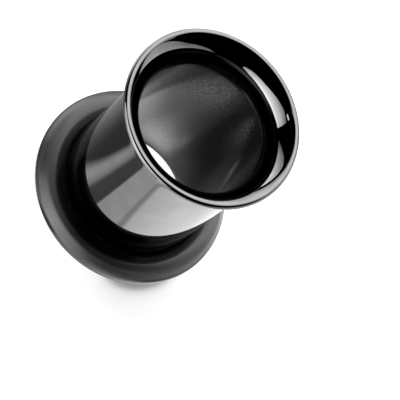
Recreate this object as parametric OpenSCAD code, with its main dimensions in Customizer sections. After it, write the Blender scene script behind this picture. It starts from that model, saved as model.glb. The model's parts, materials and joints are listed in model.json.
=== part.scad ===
// Single-flared flesh tunnel with an O-ring, standing on its plain end.
// The axis is Z, and the origin is the centre of the plain end's face.

/* [Tube] */
// Outer diameter of the tube, which is the gauge that the lobe is stretched to
tube_d = 8.2; // [5:0.1:12]
// Thickness of the tube's straight wall
wall = 0.5; // [0.35:0.05:0.6]
// Height from the plain end to the top of the lip
total_h = 12.5; // [9:0.1:18]
// Radius that breaks the inner and outer edges of the plain end
edge_r = 0.15; // [0.05:0.01:0.16]

/* [Flare] */
// How far the lip stands out past the tube, all round
flare_out = 0.9; // [0.6:0.1:1.2]
// Height of the flare, from where the wall starts to bend to the top of the lip
flare_h = 2; // [1.8:0.1:3]
// Thickness of the flare at its lip, which is fully rounded
lip_t = 0.4; // [0.3:0.05:0.5]

/* [O-ring] */
// Thickness of the O-ring's round section
ring_section = 1.72; // [1.2:0.02:2.2]
// Height of the middle of the O-ring above the plain end
ring_z = 1.5; // [1.2:0.1:2.5]
// Depth of the groove that the O-ring sits in
groove_depth = 0.21; // [0.06:0.01:0.25]
// Gap between the O-ring and the groove
ring_gap = 0.03; // [0.02:0.01:0.05]

/* [Hidden] */
$fn = 96;

tube_r = tube_d / 2;
bore_r = tube_r - wall;

// Each side of the flare is one arc, from upright at flare_z into the round of the lip
flare_z = total_h - flare_h;
lip_r = tube_r + flare_out - lip_t / 2;
lip_z = total_h - lip_t / 2;
flare_rise = lip_z - flare_z;

// Radius of the arc from a wall at radius r to a lip that lies past it by the height lip_side
function bend_r(r, lip_side) =
    (pow(lip_r - r, 2) + pow(flare_rise, 2) - pow(lip_side, 2)) / (2 * (lip_r - r + lip_side));
inner_bend_r = bend_r(bore_r, -lip_t / 2);
outer_bend_r = bend_r(tube_r, lip_t / 2);

// Where the arc from radius r runs into the round of the lip
function lip_touch(r, bend) =
    let (away = [lip_r - r - bend, flare_rise])
    [r + bend, flare_z] + away * bend / norm(away);

// The groove is an arc of the same centre as the O-ring's section
ring_r = tube_r - groove_depth + ring_gap + ring_section / 2;
groove_r = ring_section / 2 + ring_gap;

module plain_end_profile() {
    translate([bore_r + edge_r, 0])
        square([wall - 2 * edge_r, 2 * edge_r]);
    for (x = [bore_r + edge_r, tube_r - edge_r])
        translate([x, edge_r])
            circle(edge_r);
}

module flare_profile() {
    inner_touch = lip_touch(bore_r, inner_bend_r);
    outer_touch = lip_touch(tube_r, outer_bend_r);
    difference() {
        intersection() {
            polygon([
                [bore_r - wall, flare_z],
                [tube_r, flare_z],
                outer_touch,
                [lip_r, lip_z],
                inner_touch,
                [bore_r - wall, inner_touch.y]
            ]);
            translate([bore_r + inner_bend_r, flare_z])
                circle(inner_bend_r);
        }
        translate([tube_r + outer_bend_r, flare_z])
            circle(outer_bend_r);
    }
    translate([lip_r, lip_z])
        circle(lip_t / 2);
}

module tunnel() {
    color("#17181a")
        rotate_extrude()
            difference() {
                union() {
                    plain_end_profile();
                    translate([bore_r, edge_r])
                        square([wall, flare_z - edge_r]);
                    flare_profile();
                }
                translate([ring_r, ring_z])
                    circle(groove_r);
            }
}

module o_ring() {
    color("#3a3a3c")
        rotate_extrude()
            translate([ring_r, ring_z])
                circle(ring_section / 2);
}

tunnel();
o_ring();
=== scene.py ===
import json
import math

import bpy
from mathutils import Matrix, Vector


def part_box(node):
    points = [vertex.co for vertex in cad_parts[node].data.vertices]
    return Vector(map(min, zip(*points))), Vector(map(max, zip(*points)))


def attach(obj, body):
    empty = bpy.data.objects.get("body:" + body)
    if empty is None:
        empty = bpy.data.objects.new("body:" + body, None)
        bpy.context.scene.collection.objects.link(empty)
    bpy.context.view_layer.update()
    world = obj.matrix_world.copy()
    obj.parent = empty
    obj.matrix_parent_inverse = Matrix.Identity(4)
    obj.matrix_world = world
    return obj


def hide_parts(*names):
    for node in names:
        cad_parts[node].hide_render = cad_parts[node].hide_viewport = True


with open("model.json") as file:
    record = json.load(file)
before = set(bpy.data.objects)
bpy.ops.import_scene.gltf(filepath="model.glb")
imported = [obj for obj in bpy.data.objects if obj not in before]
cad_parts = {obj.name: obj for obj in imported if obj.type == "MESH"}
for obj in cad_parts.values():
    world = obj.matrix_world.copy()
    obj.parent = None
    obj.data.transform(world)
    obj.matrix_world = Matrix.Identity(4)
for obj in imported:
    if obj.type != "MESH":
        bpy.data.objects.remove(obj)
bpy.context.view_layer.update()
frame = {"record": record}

MM = 0.001

# Sizes, in metres

mounts = {mount["name"]: mount for mount in frame["record"]["mounts"]}
tunnel_low, tunnel_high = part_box("tunnel")
ring_low, ring_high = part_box("o_ring")

bore_r = mounts["bore"]["dims"]["r_mm"] * MM
tube_r = mounts["lobe_seat"]["dims"]["r_mm"] * MM
total_h = tunnel_high.z
flare_r = (tunnel_high.x - tunnel_low.x) / 2
ring_section_r = (ring_high.z - ring_low.z) / 2
ring_z = (ring_high.z + ring_low.z) / 2
ring_r = (ring_high.x - ring_low.x) / 2 - ring_section_r

# These aren't in the frame, so they repeat the part's own values
edge_r = 0.15 * MM
flare_h = 2 * MM
lip_t = 0.4 * MM
ring_gap = 0.03 * MM
groove_r = ring_section_r + ring_gap

# Each side of the flare is one arc, from upright at flare_z into the full round of the lip
lip_r = flare_r - lip_t / 2
lip_z = total_h - lip_t / 2
flare_z = total_h - flare_h
flare_rise = lip_z - flare_z

# How finely the pieces are turned: steps about the axis, and then along the arcs of a section
TURNS = 384
EDGE_STEPS = 10
GROOVE_STEPS = 16
FLARE_OUTSIDE_STEPS = 28
LIP_STEPS = 24
FLARE_INSIDE_STEPS = 36
RING_STEPS = 96
WALL_STEP = 0.25 * MM
SAME_POINT = 0.0003 * MM
SHARP_ANGLE = math.radians(35)


# Shapes

def arc(centre, radius, start, end, steps):
    """Points (radius from the axis, height) along an arc, with its angles in degrees."""
    centre_r, centre_z = centre
    points = []
    for i in range(steps + 1):
        angle = math.radians(start + (end - start) * i / steps)
        points.append((centre_r + radius * math.cos(angle), centre_z + radius * math.sin(angle)))
    return points


def upright(radius, start, end):
    """Points up or down a straight wall, a short step apart."""
    steps = max(1, round(abs(end - start) / WALL_STEP))
    return [(radius, start + (end - start) * i / steps) for i in range(steps + 1)]


def without_repeats(points):
    """The points of a closed section, with each one that lies on the one before it left out."""
    kept = []
    for point in points:
        if not kept or math.dist(point, kept[-1]) > SAME_POINT:
            kept.append(point)
    if math.dist(kept[0], kept[-1]) <= SAME_POINT:
        kept.pop()
    return kept


def flare_bend(radius, lip_side):
    """The centre, radius and end angle of the flare's arc from a wall into one side of the lip."""
    out = lip_r - radius
    bend_r = (out ** 2 + flare_rise ** 2 - lip_side ** 2) / (2 * (out + lip_side))
    return (radius + bend_r, flare_z), bend_r, math.degrees(math.atan2(flare_rise, out - bend_r))


def tunnel_section():
    """The closed section of the tunnel's wall, and the first point of the satin bore in it.

    It runs up the outside from the foot, past the groove, over the lip and down the bore.
    """
    outer_centre, outer_bend, outer_end = flare_bend(tube_r, lip_t / 2)
    inner_centre, inner_bend, inner_end = flare_bend(bore_r, -lip_t / 2)
    groove_half = math.degrees(math.acos((ring_r - tube_r) / groove_r))
    groove_edge = groove_r * math.sin(math.radians(groove_half))
    outside = arc((tube_r - edge_r, edge_r), edge_r, -90, 0, EDGE_STEPS)
    outside += upright(tube_r, edge_r, ring_z - groove_edge)
    outside += arc((ring_r, ring_z), groove_r, 180 + groove_half, 180 - groove_half, GROOVE_STEPS)
    outside += upright(tube_r, ring_z + groove_edge, flare_z)
    outside += arc(outer_centre, outer_bend, 180, outer_end, FLARE_OUTSIDE_STEPS)
    outside += arc((lip_r, lip_z), lip_t / 2, outer_end - 180, inner_end, LIP_STEPS)
    outside += arc(inner_centre, inner_bend, inner_end, 180, FLARE_INSIDE_STEPS)
    bore = upright(bore_r, flare_z, edge_r)
    bore += arc((bore_r + edge_r, edge_r), edge_r, 180, 270, EDGE_STEPS)
    outside = without_repeats(outside)
    return without_repeats(outside + bore), len(outside)


def turned(name, section):
    """A closed solid turned about the axis from a section, with smooth faces."""
    vertices = []
    for turn in range(TURNS):
        angle = 2 * math.pi * turn / TURNS
        across, along = math.cos(angle), math.sin(angle)
        vertices += [(r * across, r * along, z) for r, z in section]
    count = len(section)
    faces = []
    for turn in range(TURNS):
        here, there = turn * count, (turn + 1) % TURNS * count
        for i in range(count):
            j = (i + 1) % count
            faces.append((here + i, there + i, there + j, here + j))
    mesh = bpy.data.meshes.new(name)
    mesh.from_pydata(vertices, [], faces)
    mesh.shade_smooth()
    mesh.set_sharp_from_angle(angle=SHARP_ANGLE)
    piece = bpy.data.objects.new(name, mesh)
    bpy.context.scene.collection.objects.link(piece)
    return piece


# Materials

# The haze of a polished plating changes over about a millimetre, and moulded rubber's skin over a
# fifth of one
HAZE_SIZE = 1.1 * MM
SKIN_SIZE = 0.2 * MM

# The pits of fine blasting are about 0.02 mm apart, and the grains of the painted glints in the bore
# about 0.05 mm wide. Both are too fine to show where a pixel is 0.055 mm, so they are drawn one pixel
# and two pixels wide
PIT_SIZE = 0.055 * MM
GLINT_GRAIN_SIZE = 0.11 * MM

# A noise keeps mostly between these values. The painted glints take a narrower part, for more contrast
NOISE_LOW = 0.3
NOISE_HIGH = 0.7
GLINT_LOW = 0.35
GLINT_HIGH = 0.65

# The painted glints are faint up to the first height in the bore and full from the second, by the throat
GLINT_FAINT_Z = 6.5 * MM
GLINT_FULL_Z = 9 * MM
GLINT_FAINT = 0.2

# How deep the blasting's pits and the uneven skin of the rubber are
PIT_DEPTH = 0.02 * MM
SKIN_DEPTH = 0.01 * MM


def linear(hex_colour):
    """An sRGB hex colour as linear red, green, blue and alpha."""
    parts = [int(hex_colour[i:i + 2], 16) / 255 for i in (1, 3, 5)]
    return [p / 12.92 if p <= 0.04045 else ((p + 0.055) / 1.055) ** 2.4 for p in parts] + [1]


def add(tree, kind, inputs=None, **settings):
    """Adds a node with its settings, and fills or links its inputs."""
    made = tree.nodes.new(kind)
    for name, value in settings.items():
        setattr(made, name, value)
    for socket, value in (inputs or {}).items():
        if isinstance(value, bpy.types.NodeSocket):
            tree.links.new(value, made.inputs[socket])
        else:
            made.inputs[socket].default_value = value
    return made


def new_material(name):
    """An empty material and its node tree."""
    material = bpy.data.materials.new(name)
    material.use_nodes = True
    material.node_tree.nodes.clear()
    return material, material.node_tree


def polished_black_plated_steel():
    """Surgical steel, turned, mirror-polished and plated black.

    The polish mirrors what is around it sharply, and the plating dims that to about a sixth. A
    slight haze and a slight change of tone keep it from looking like glass.
    """
    material, tree = new_material("polished_black_plated_steel")
    place = add(tree, "ShaderNodeTexCoord").outputs["Object"]
    haze = add(tree, "ShaderNodeTexNoise", {"Vector": place, "Scale": 1 / HAZE_SIZE, "Detail": 3})
    spread = add(tree, "ShaderNodeMapRange", {
        "Value": haze.outputs["Fac"], "From Min": NOISE_LOW, "From Max": NOISE_HIGH})
    rough = add(tree, "ShaderNodeMapRange", {
        "Value": spread.outputs["Result"], "To Min": 0.02, "To Max": 0.045})
    plating = add(tree, "ShaderNodeMixRGB", {
        "Fac": spread.outputs["Result"], "Color1": linear("#6a6a6b"), "Color2": linear("#727272")})
    shader = add(tree, "ShaderNodeBsdfPrincipled", {
        "Base Color": plating.outputs["Color"], "Metallic": 1, "Roughness": rough.outputs["Result"]})
    add(tree, "ShaderNodeOutputMaterial", {"Surface": shader.outputs["BSDF"]})
    return material


def satin_black_plated_steel():
    """The bore's steel, turned, blasted finely and plated black.

    The blasting leaves it satin, with a fine grain, and the turning marks under it draw what it
    mirrors out along the bore, which the anisotropy's quarter turn gives. Towards the throat, painted
    glints of light from above make its colour grainy and lighter in spots.
    """
    material, tree = new_material("satin_black_plated_steel")
    place = add(tree, "ShaderNodeTexCoord").outputs["Object"]
    grain = add(tree, "ShaderNodeTexNoise", {"Vector": place, "Scale": 1 / PIT_SIZE, "Detail": 2})
    rough = add(tree, "ShaderNodeMapRange", {
        "Value": grain.outputs["Fac"], "From Min": NOISE_LOW, "From Max": NOISE_HIGH,
        "To Min": 0.12, "To Max": 0.19})
    bump = add(tree, "ShaderNodeBump", {
        "Height": grain.outputs["Fac"], "Strength": 0.12, "Distance": PIT_DEPTH})
    # Painted glints: a grainy plating colour, lighter in spots, which grows towards the throat
    glint_grain = add(tree, "ShaderNodeTexNoise", {"Vector": place, "Scale": 1 / GLINT_GRAIN_SIZE, "Detail": 2})
    height = add(tree, "ShaderNodeSeparateXYZ", {"Vector": place}).outputs["Z"]
    glint_zone = add(tree, "ShaderNodeMapRange", {
        "Value": height, "From Min": GLINT_FAINT_Z, "From Max": GLINT_FULL_Z,
        "To Min": GLINT_FAINT, "To Max": 1})
    spread = add(tree, "ShaderNodeMapRange", {
        "Value": glint_grain.outputs["Fac"], "From Min": GLINT_LOW, "From Max": GLINT_HIGH})
    painted_glints = add(tree, "ShaderNodeMixRGB", {
        "Fac": spread.outputs["Result"], "Color1": linear("#585858"), "Color2": linear("#848484")})
    # The bore's plating colour, with the painted glints mixed in towards the throat
    plating = add(tree, "ShaderNodeMixRGB", {
        "Fac": glint_zone.outputs["Result"], "Color1": linear("#6e6e6e"),
        "Color2": painted_glints.outputs["Color"]})
    around = add(tree, "ShaderNodeTangent", direction_type="RADIAL", axis="Z")
    shader = add(tree, "ShaderNodeBsdfPrincipled", {
        "Base Color": plating.outputs["Color"], "Metallic": 1, "Roughness": rough.outputs["Result"],
        "Anisotropic": 0.4, "Anisotropic Rotation": 0.25, "Tangent": around.outputs["Tangent"],
        "Normal": bump.outputs["Normal"]})
    add(tree, "ShaderNodeOutputMaterial", {"Surface": shader.outputs["BSDF"]})
    return material


def moulded_black_rubber():
    """Nitrile rubber, pressed in a smooth mould.

    It is nearly black, with a low, soft gloss whose edges the fine, uneven skin breaks up.
    """
    material, tree = new_material("moulded_black_rubber")
    place = add(tree, "ShaderNodeTexCoord").outputs["Object"]
    skin = add(tree, "ShaderNodeTexNoise", {"Vector": place, "Scale": 1 / SKIN_SIZE, "Detail": 3})
    spread = add(tree, "ShaderNodeMapRange", {
        "Value": skin.outputs["Fac"], "From Min": NOISE_LOW, "From Max": NOISE_HIGH})
    rough = add(tree, "ShaderNodeMapRange", {
        "Value": spread.outputs["Result"], "To Min": 0.17, "To Max": 0.23})
    compound = add(tree, "ShaderNodeMixRGB", {
        "Fac": spread.outputs["Result"], "Color1": linear("#171717"), "Color2": linear("#1d1d1d")})
    bump = add(tree, "ShaderNodeBump", {
        "Height": skin.outputs["Fac"], "Strength": 0.1, "Distance": SKIN_DEPTH})
    shader = add(tree, "ShaderNodeBsdfPrincipled", {
        "Base Color": compound.outputs["Color"], "Roughness": rough.outputs["Result"], "IOR": 1.5,
        "Normal": bump.outputs["Normal"]})
    add(tree, "ShaderNodeOutputMaterial", {"Surface": shader.outputs["BSDF"]})
    return material


# Pieces

POLISHED = 0
SATIN = 1

section, bore_start = tunnel_section()
tunnel = turned("black_steel_tunnel", section)
tunnel.data.materials.append(polished_black_plated_steel())
tunnel.data.materials.append(satin_black_plated_steel())
for i, face in enumerate(tunnel.data.polygons):
    face.material_index = SATIN if i % len(section) >= bore_start - 1 else POLISHED
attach(tunnel, "root")
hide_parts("tunnel")

ring_section = arc((ring_r, ring_z), ring_section_r, 0, 360, RING_STEPS)
rubber_ring = turned("black_rubber_o_ring", without_repeats(ring_section))
rubber_ring.data.materials.append(moulded_black_rubber())
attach(rubber_ring, "root")
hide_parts("o_ring")


# Camera

def toward(azimuth, elevation):
    """The direction at an azimuth, counted from the camera's side to its right, and an elevation.

    The camera is rolled, so azimuth 60 is about straight down in the picture.
    """
    a, e = math.radians(azimuth), math.radians(elevation)
    return Vector((math.sin(a) * math.cos(e), -math.cos(a) * math.cos(e), math.sin(e)))


# Found from the ellipses that the flare, the throat and the O-ring make in the photo. The camera
# aims a little beside the middle of the tunnel, and its lens and sensor are in mm
CAMERA_ELEVATION = 58.31
CAMERA_ROLL = 51.97
CAMERA_DISTANCE = 133.07 * MM
CAMERA_LENS = 222.3
CAMERA_SENSOR = 36
CAMERA_NEAR = 10 * MM
CAMERA_FAR = 10000 * MM
AIM_RIGHT = 1.952 * MM
AIM_DOWN = 2.199 * MM
MIDDLE = Vector((0, 0, 6 * MM))

back = toward(0, CAMERA_ELEVATION)
level = Vector((1, 0, 0))
roll = Matrix.Rotation(math.radians(CAMERA_ROLL), 3, back)
right = roll @ level
up = back.cross(right)
aim = MIDDLE + right * AIM_RIGHT - up * AIM_DOWN

camera = bpy.data.objects.new("camera", bpy.data.cameras.new("camera"))
camera.data.lens = CAMERA_LENS
camera.data.sensor_width = CAMERA_SENSOR
camera.data.clip_start = CAMERA_NEAR
camera.data.clip_end = CAMERA_FAR
camera.matrix_world = Matrix.Translation(aim + back * CAMERA_DISTANCE) @ Matrix(
    (right, up, back)).transposed().to_4x4()
bpy.context.scene.collection.objects.link(camera)
bpy.context.scene.camera = camera


# Light tent

# The tunnel is nearly all reflections, so it stands in a small tent of glowing cards. A card counts
# in full where it is mirrored first and by a share in later reflections, so that what one surface
# shows can be set without the others. The tables give each knot's glow, and TENT_GLOW scales it
TENT_GLOW = 1.5
LATER_SHARE = 0.05

# How far the tent's round wall is from the axis, and how many faces a card has between two knots
WALL_AWAY = 28 * MM
KNOT_STEPS = 8

# A later reflection of a card with a reach is evened out to this power, and it fades to nothing
# between the reach and this many times it
EVENING_POWER = 0.7
FADED_AT = 1.1


def stage_piece(name, places, faces, material):
    """A piece of the studio, which isn't part of the object."""
    mesh = bpy.data.meshes.new(name)
    mesh.from_pydata(places, [], faces)
    mesh.materials.append(material)
    piece = bpy.data.objects.new(name, mesh)
    bpy.context.scene.collection.objects.link(piece)
    return piece


def show_in_gloss_only(piece):
    """Hides a piece of the tent from the camera, matt surfaces and shadows."""
    piece.visible_camera = False
    piece.visible_diffuse = False
    piece.visible_shadow = False


def first_seen(tree, glow, later=LATER_SHARE, reach=0):
    """The glow in full in a first reflection, and a share of it in a later one, within reach."""
    path = add(tree, "ShaderNodeLightPath")
    if reach:
        evening = add(tree, "ShaderNodeMapRange", {
            "Value": path.outputs["Ray Depth"], "From Min": 1, "From Max": 2,
            "To Min": 1, "To Max": EVENING_POWER})
        evened = add(tree, "ShaderNodeMath", {
            0: glow, 1: evening.outputs["Result"]}, operation="POWER")
        faded = add(tree, "ShaderNodeMapRange", {
            "Value": path.outputs["Ray Length"], "From Min": reach, "From Max": reach * FADED_AT,
            "To Min": later, "To Max": 0})
        glow = evened.outputs["Value"]
        later = faded.outputs["Result"]
    share = add(tree, "ShaderNodeMapRange", {
        "Value": path.outputs["Ray Depth"], "From Min": 1, "From Max": 2,
        "To Min": 1, "To Max": later})
    shown = add(tree, "ShaderNodeMath", {0: glow, 1: share.outputs["Result"]}, operation="MULTIPLY")
    return shown.outputs["Value"]


def smooth(share):
    """The share eased at both ends."""
    return share * share * (3 - 2 * share)


def within(corners, across, along):
    """What lies between four corners, at its shares of the way across and along two columns."""
    first, second, third, fourth = corners
    here = first * (1 - along) + second * along
    there = third * (1 - along) + fourth * along
    return here * (1 - across) + there * across


def card(name, columns, later=LATER_SHARE, one_sided=False, reach=0):
    """A glowing card of the tent from columns of knots, each a place and its glow.

    A one-sided card glows downwards only and lets rays from above through.
    """
    last_column = len(columns) - 1
    last_knot = len(columns[0]) - 1
    steps_across = last_column * KNOT_STEPS
    steps_along = last_knot * KNOT_STEPS
    places, glows = [], []
    for i in range(steps_across + 1):
        column = min(i // KNOT_STEPS, last_column - 1)
        across = i / KNOT_STEPS - column
        for j in range(steps_along + 1):
            knot = min(j // KNOT_STEPS, last_knot - 1)
            along = j / KNOT_STEPS - knot
            corners = columns[column][knot:knot + 2] + columns[column + 1][knot:knot + 2]
            places.append(within([place for place, glow in corners], across, along))
            glow = within([glow for place, glow in corners], smooth(across), smooth(along))
            glows.append(glow * TENT_GLOW)
    faces = []
    for i in range(steps_across):
        for j in range(steps_along):
            here = i * (steps_along + 1) + j
            there = here + steps_along + 1
            faces.append((here, here + 1, there + 1, there))
    material, tree = new_material(name)
    read = add(tree, "ShaderNodeAttribute", attribute_name="glow")
    surface = add(tree, "ShaderNodeEmission", {
        "Strength": first_seen(tree, read.outputs["Fac"], later, reach)}).outputs["Emission"]
    if one_sided:
        facing = add(tree, "ShaderNodeNewGeometry").outputs["Backfacing"]
        clear = add(tree, "ShaderNodeBsdfTransparent").outputs["BSDF"]
        surface = add(tree, "ShaderNodeMixShader", {0: facing, 1: clear, 2: surface}).outputs["Shader"]
    add(tree, "ShaderNodeOutputMaterial", {"Surface": surface})
    piece = stage_piece(name, places, faces, material)
    piece.data.attributes.new("glow", "FLOAT", "POINT").data.foreach_set("value", glows)
    show_in_gloss_only(piece)


def wall_card(name, columns, later=LATER_SHARE):
    """A card on the tent's round wall: columns of azimuth and then (height in mm, glow) upwards."""
    card(name, [[(toward(azimuth, 0) * WALL_AWAY + Vector((0, 0, height)) * MM, glow)
                 for height, glow in stops]
                for azimuth, *stops in columns], later)


def level_card(name, height, columns, later=LATER_SHARE):
    """A card lying level: columns of x and then (y, glow), in mm, away from the camera."""
    card(name, [[(Vector((x, y, height)) * MM, glow) for y, glow in stops]
                for x, *stops in columns], later)


def round_card(name, middle, radii, columns, later=LATER_SHARE, one_sided=False, reach=0):
    """A round card lying level: columns of azimuth and then the glow at each of the radii in mm."""
    card(name, [[((toward(azimuth, 0) * radius + Vector(middle)) * MM, glow)
                 for radius, glow in zip(radii, glows)]
                for azimuth, *glows in columns], later, one_sided, reach)


# In front, above the lip: for the flare's inside across from it, and the near side of the lip
wall_card("front_high_card", (
    (-61.5, (15, 2.7), (20, 1.9), (31, 0.6)),
    (-47, (15, 3.5), (19.5, 2.2), (34, 0.8)),
    (-22, (15, 4.5), (19, 2.7), (29, 1.5)),
    (-8, (15, 4.3), (19, 2.6), (25.6, 1.9)),
    (14, (15.6, 2.6), (18.5, 2.2), (23.6, 1.1)),
    (26, (17, 1.0), (18.5, 1.2), (20, 1.0))))

# In front, below that: for the near side of the lip's outer edge and of the O-ring
wall_card("front_low_card", (
    (-71, (-10.2, 0.5), (9, 0.6)),
    (-61, (-10.2, 0.7), (12, 0.6)),
    (-50, (-10.2, 1.6), (15, 1.9)),
    (-36, (-10.2, 2.5), (15, 2.9)),
    (-20, (-10.2, 3.6), (15, 3.8)),
    (0, (-10.2, 2.6), (14, 2.7)),
    (12, (-10.2, 1.8), (13.5, 1.9)),
    (27, (-10.2, 1.1), (13, 0.5))))

# On the right: for that side of the lip and the O-ring, and the flare's inside across from it
wall_card("right_card", (
    (27.5, (-10.2, 1.5), (-4, 1.2), (2, 0.8), (8, 0.5), (12, 0.1)),
    (38, (-10.2, 1.4), (-4, 1.0), (2, 0.6), (8, 0.4), (12, 0.1)),
    (60, (-10.2, 0.6), (-4, 0.6), (2, 0.6), (8, 0.5), (13, 0.2)),
    (74, (-10.2, 0.2), (-4, 0.7), (2, 0.8), (8, 0.8), (17.6, 0.5)),
    (90, (-10.2, 0.3), (-4, 0.9), (2, 1.2), (10, 1.0), (19.5, 0.6)),
    (100, (-10.2, 0.4), (-4, 1.1), (2, 1.5), (10, 1.2), (20.8, 0.4)),
    (122, (-10.2, 0.6), (-2, 1.6), (3, 2.1), (12, 1.1), (26.8, 0.8)),
    (136, (-10.2, 0.9), (-2, 2.2), (3, 2.6), (12, 1.4), (27.3, 1.1)),
    (150, (-10.2, 1.0), (-2, 2.8), (3, 3.5), (10, 1.7), (13.5, 0.8))), later=0.3)

# On the left: for that side of the lip and the O-ring, and the flare's inside across from it
wall_card("left_card", (
    (-142, (-12, 0.2), (-3, 0.6), (6, 1.4), (10, 2.0)),
    (-132, (-12, 0.3), (-2, 0.9), (6, 1.8), (12.8, 2.5)),
    (-126, (-12, 0.3), (0, 1.5), (9, 2.4), (17, 2.4)),
    (-118, (-12, 0.5), (0, 2.0), (12, 3.0), (22.3, 1.5)),
    (-109, (-12, 0.7), (0, 2.3), (12, 2.0), (26, 0.9)),
    (-99, (-12, 0.6), (0, 1.9), (12, 1.6), (24.5, 0.6)),
    (-90, (-12, 0.6), (0, 1.4), (12, 1.2), (20.5, 0.5)),
    (-80, (-12, 0.3), (0, 0.6), (12, 0.5), (16.5, 0.2)),
    (-70, (-12, 0.6), (0, 0.6), (9, 0.5), (11, 0.2))), later=0.5)

# Behind, high up: for the lip's top, all round
wall_card("back_card", (
    (-240, (30, 0.5), (40, 0.7), (60, 1.1)),
    (-200, (18, 0.3), (30, 1.7), (60, 2.1)),
    (-160, (10, 1.8), (28, 2.4), (60, 2.3)),
    (-139, (12.5, 1.1), (21, 2.1), (60, 2.3)),
    (-129, (19.2, 1.1), (27, 2.2), (60, 2.3)),
    (-120, (25.5, 1.1), (33, 1.9), (60, 2.0)),
    (-110, (33, 0.9), (41, 1.5), (60, 1.8)),
    (-80, (56, 0.0), (58, 0.3), (60, 0.8))), later=0.5)

# Behind, low down: for the far side of the lip
wall_card("back_low_card", (
    (-142, (-10.2, 0.3), (9, 1.8)),
    (-150, (-10.2, 0.8), (9, 2.6)),
    (-180, (-10.2, 1.3), (9, 3.0)),
    (-210, (-10.2, 1.3), (9, 3.0))))

# A small lamp: for a light dot on the flare's inside, far right in the picture
wall_card("left_spot", (
    (-62, (35, 0), (37.5, 3), (40, 0)),
    (-55, (35, 0), (37.5, 3), (40, 0))))

# Overhead: for the lip's top, all round
level_card("top_card", 60, (
    (-30, (-16, 0.8), (0, 1.9), (30, 2.1)),
    (0, (-14, 0.4), (4, 2.3), (30, 2.2)),
    (14, (-6, 0.4), (6, 2.0), (30, 1.9)),
    (30, (2, 0.3), (10, 0.5), (30, 1.1))), later=0.5)

# Under the tunnel: for the bore, and the flare's inside by the throat
round_card("bore_card", (0, -0.2, -3), (0.2, 1.4, 2.8, 4.7, 6.4), (
    (-178, 0.2, 0.2, 0.06, 0.1, 0.08),
    (-100, 0.1, 0.03, 0.02, 0.05, 0.03),
    (-30, 0.1, 0.04, 0.02, 0.04, 0.02),
    (0, 0.12, 0.1, 0.07, 0.14, 0.04),
    (25, 0.15, 0.12, 0.1, 0.4, 0.06),
    (60, 0.2, 0.2, 0.18, 0.4, 0.06),
    (90, 0.3, 0.3, 0.24, 0.32, 0.12),
    (120, 0.36, 0.64, 0.32, 0.3, 0.15),
    (150, 0.4, 1.1, 0.7, 0.6, 0.25),
    (165, 0.4, 1.4, 0.7, 0.7, 0.3),
    (177, 0.3, 1.1, 0.6, 0.6, 0.3),
    (182, 0.2, 0.2, 0.06, 0.1, 0.08)), later=1.2, reach=10 * MM)

# A collar round the flare, in two halves: for the O-ring's top, and the back one also for the
# tube's foot
round_card("front_collar_card", (0, 0, 11.2), (5.1, 11, 17, 28), (
    (-70, 0.7, 0.8, 0.7, 0.7),
    (-58, 0.8, 0.8, 1.0, 1.1),
    (-45, 0.6, 0.7, 2.1, 2.2),
    (-18, 0.4, 0.5, 3.3, 3.5),
    (0, 0.15, 0.2, 2.3, 2.6),
    (25, 0.15, 0.15, 0.6, 0.8),
    (45, 0.15, 0.15, 0.4, 0.5),
    (70, 0.2, 0.3, 0.7, 0.8)), later=0, one_sided=True)
round_card("back_collar_card", (0, 0, 11.2), (5.1, 11, 17, 28), (
    (70, 0.2, 0.3, 0.7, 0.8),
    (90, 0.4, 0.5, 0.8, 1.1),
    (120, 1.0, 1.2, 1.2, 1.3),
    (145, 2.0, 2.8, 2.6, 2.4),
    (180, 2.4, 3.0, 3.0, 2.8),
    (210, 1.9, 2.9, 3.3, 3.2),
    (240, 1.7, 2.5, 2.5, 2.4),
    (265, 1.1, 1.4, 1.2, 1.2),
    (290, 0.7, 0.8, 0.7, 0.7)), later=0.8, one_sided=True)

# Round the tent's foot, below the table: for the lip's outer edge and the O-ring's side
round_card("foot_card", (0, 0, -10), (30, 22, 16.9), (
    (-180, 0.8, 0.6, 0.3),
    (-140, 0.4, 0.4, 0.2),
    (-100, 0.8, 0.6, 0.2),
    (-78, 0.3, 0.2, 0.2),
    (-55, 0.8, 0.7, 0.6),
    (-20, 3.2, 2.6, 1.1),
    (0, 2.5, 2.2, 1.7),
    (22, 1.3, 1.4, 1.4),
    (50, 1.1, 1.5, 1.3),
    (66, 0.5, 1.2, 1.5),
    (82, 0.2, 0.2, 0.6),
    (118, 0.6, 0.4, 0.2),
    (142, 1.4, 1.2, 0.9),
    (180, 0.8, 0.6, 0.3)))

# Greys go up to 2 and a ramp's colours only to 1, so a grey is halved in it and doubled after it
RAMP_TOP = 2


def halved_grey(tree, length, stops):
    """Grey by a length in the scene, from stops of (mm, grey), and halved."""
    low, high = stops[0][0], stops[-1][0]
    share = add(tree, "ShaderNodeMapRange", {
        "Value": length, "From Min": low * MM, "From Max": high * MM})
    made = add(tree, "ShaderNodeValToRGB", {"Fac": share.outputs["Result"]})
    elements = made.color_ramp.elements
    while len(elements) < len(stops):
        elements.new(0.5)
    for element, (place, grey) in zip(elements, stops):
        element.position = (place - low) / (high - low)
        element.color = (grey / RAMP_TOP, grey / RAMP_TOP, grey / RAMP_TOP, 1)
    return made.outputs["Color"]


STRIPED_R = 17 * MM
STRIPED_Z = -10 * MM
STRIPED_CORNERS = 48
STRIPED_NEAR_Y = -5.5 * MM
STRIPED_FAR_Y = 6 * MM


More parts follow.
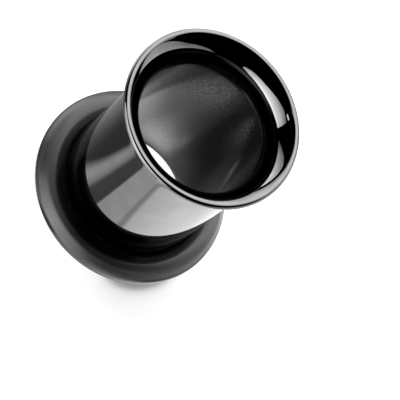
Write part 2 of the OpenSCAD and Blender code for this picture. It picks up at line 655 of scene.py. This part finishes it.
def striped_card():
    """A card below the table, inside the foot card: for the tube's outside.

    Its stripes run away from the camera. Their greys go by x in mm, and change from the near ones
    to the far ones on the way.
    """
    material, tree = new_material("striped_card")
    place = add(tree, "ShaderNodeTexCoord").outputs["Object"]
    across = add(tree, "ShaderNodeSeparateXYZ", {"Vector": place})
    near = halved_grey(tree, across.outputs["X"], (
        (-25, 0.06), (-11.1, 0.08), (-9.6, 0.74), (-8.6, 0.74), (-7.5, 0.56), (-6.5, 0.2),
        (-6, 0.15), (-2.2, 0.14), (-1.6, 0.84), (5.4, 0.92), (6, 0.64), (6.8, 0.64),
        (7.4, 1.05), (7.8, 1.3), (14, 1.55), (25, 1.5)))
    far = halved_grey(tree, across.outputs["X"], (
        (-25, 0.22), (-11, 0.24), (-8.2, 0.3), (-2.2, 0.18), (-1.6, 0.8), (5.4, 0.86),
        (7.8, 1.1), (14, 1.25), (25, 1.2)))
    along = add(tree, "ShaderNodeMapRange", {
        "Value": across.outputs["Y"], "From Min": STRIPED_NEAR_Y, "From Max": STRIPED_FAR_Y},
        interpolation_type="SMOOTHSTEP")
    both = add(tree, "ShaderNodeMixRGB", {"Fac": along.outputs["Result"], "Color1": near, "Color2": far})
    glow = add(tree, "ShaderNodeEmission", {
        "Color": both.outputs["Color"], "Strength": first_seen(tree, RAMP_TOP * TENT_GLOW)})
    add(tree, "ShaderNodeOutputMaterial", {"Surface": glow.outputs["Emission"]})
    corners = [toward(360 * turn / STRIPED_CORNERS, 0) * STRIPED_R + Vector((0, 0, STRIPED_Z))
               for turn in range(STRIPED_CORNERS)]
    piece = stage_piece("striped_card", corners, [range(STRIPED_CORNERS)], material)
    show_in_gloss_only(piece)


FILM_TURNS = range(-58, 11, 4)
FILM_INNER_R = 5.1 * MM
FILM_OUTER_R = 29 * MM
FILM_Z = 11.4 * MM
FILM_CLEAR = 0.6


def lip_shade():
    """A strip of grey film over the front collar, for what the lip's outer edge mirrors."""
    material, tree = new_material("grey_film")
    film = add(tree, "ShaderNodeBsdfTransparent", {"Color": (FILM_CLEAR, FILM_CLEAR, FILM_CLEAR, 1)})
    add(tree, "ShaderNodeOutputMaterial", {"Surface": film.outputs["BSDF"]})
    turns = [(azimuth, FILM_INNER_R) for azimuth in FILM_TURNS]
    turns += [(azimuth, FILM_OUTER_R) for azimuth in reversed(FILM_TURNS)]
    corners = [toward(azimuth, 0) * radius + Vector((0, 0, FILM_Z)) for azimuth, radius in turns]
    piece = stage_piece("lip_shade", corners, [range(len(corners))], material)
    show_in_gloss_only(piece)


striped_card()
lip_shade()


# Floor

FLOOR_REACH = 3000 * MM
# The azimuth of the painted shade on the floor
SHADE_AZIMUTH = 62


def shade(tree, place, away, width, stops):
    """Painted shade: a halved grey by the distance, in mm, from a spot on the floor, wider across than
    outwards.
    """
    moved = add(tree, "ShaderNodeMapping", {
        "Vector": place, "Location": toward(SHADE_AZIMUTH, 0) * away * MM,
        "Rotation": (0, 0, math.radians(SHADE_AZIMUTH - 90)), "Scale": (1, width, 1)},
        vector_type="TEXTURE")
    length = add(tree, "ShaderNodeVectorMath", {0: moved.outputs["Vector"]}, operation="LENGTH")
    return halved_grey(tree, length.outputs["Value"], stops)


def floor():
    """The plain pale floor: a white acrylic table lit a little from within.

    Its own glow keeps it as white as the photo's. The glow is darkened by painted shade where the
    O-ring overhangs the table at the bottom of the picture: a painted contact shadow, dark close by,
    and a fainter painted reflection of the O-ring further out.
    """
    material, tree = new_material("white_acrylic_table")
    place = add(tree, "ShaderNodeTexCoord").outputs["Object"]
    # Painted contact shadow of the O-ring on the table
    painted_contact_shadow = shade(tree, place, 4.4, 1.8, (
        (0, 0.3), (0.9, 0.3), (1.1, 0.5), (1.3, 0.85), (1.6, 0.95), (2.2, 1), (40, 1)))
    # Painted faint reflection of the O-ring, further out
    soft = shade(tree, place, 6.2, 1.7, ((0, 0.87), (0.8, 0.87), (2.2, 1), (40, 1)))
    glow = add(tree, "ShaderNodeVectorMath", {0: painted_contact_shadow, 1: soft}, operation="MULTIPLY")
    shader = add(tree, "ShaderNodeBsdfPrincipled", {
        "Base Color": linear("#f0f0f0"), "Roughness": 0.3,
        "Emission Color": glow.outputs["Vector"], "Emission Strength": RAMP_TOP ** 2})
    add(tree, "ShaderNodeOutputMaterial", {"Surface": shader.outputs["BSDF"]})
    corners = [(-FLOOR_REACH, -FLOOR_REACH, 0), (FLOOR_REACH, -FLOOR_REACH, 0),
               (FLOOR_REACH, FLOOR_REACH, 0), (-FLOOR_REACH, FLOOR_REACH, 0)]
    piece = stage_piece("floor", corners, [range(4)], material)
    # Gloss looks through the table, to the cards below it
    piece.visible_glossy = False


floor()


# Soft lamp, high up behind on the left

KEY_SIZE = 120 * MM
KEY_AWAY = 400 * MM
KEY_AZIMUTH = -124
KEY_ELEVATION = 70
KEY_WATTS = 0.58

key = bpy.data.objects.new("key_light", bpy.data.lights.new("key_light", "AREA"))
key.data.shape = "DISK"
key.data.size = KEY_SIZE
key.data.energy = KEY_WATTS
key.location = toward(KEY_AZIMUTH, KEY_ELEVATION) * KEY_AWAY
key.rotation_mode = "QUATERNION"
key.rotation_quaternion = key.location.to_track_quat("Z", "Y")
# In gloss the cards stand for it
key.visible_glossy = False
bpy.context.scene.collection.objects.link(key)


# World, white to the camera alone

WORLD_GLOW = 1.1

world = bpy.data.worlds.new("studio")
bpy.context.scene.world = world
world.use_nodes = True
world.node_tree.nodes.clear()
tree = world.node_tree
seen = add(tree, "ShaderNodeLightPath").outputs["Is Camera Ray"]
strength = add(tree, "ShaderNodeMath", {0: seen, 1: WORLD_GLOW}, operation="MULTIPLY")
white = add(tree, "ShaderNodeBackground", {"Strength": strength.outputs["Value"]})
add(tree, "ShaderNodeOutputWorld", {"Surface": white.outputs["Background"]})

bpy.context.scene.view_settings.view_transform = "Standard"
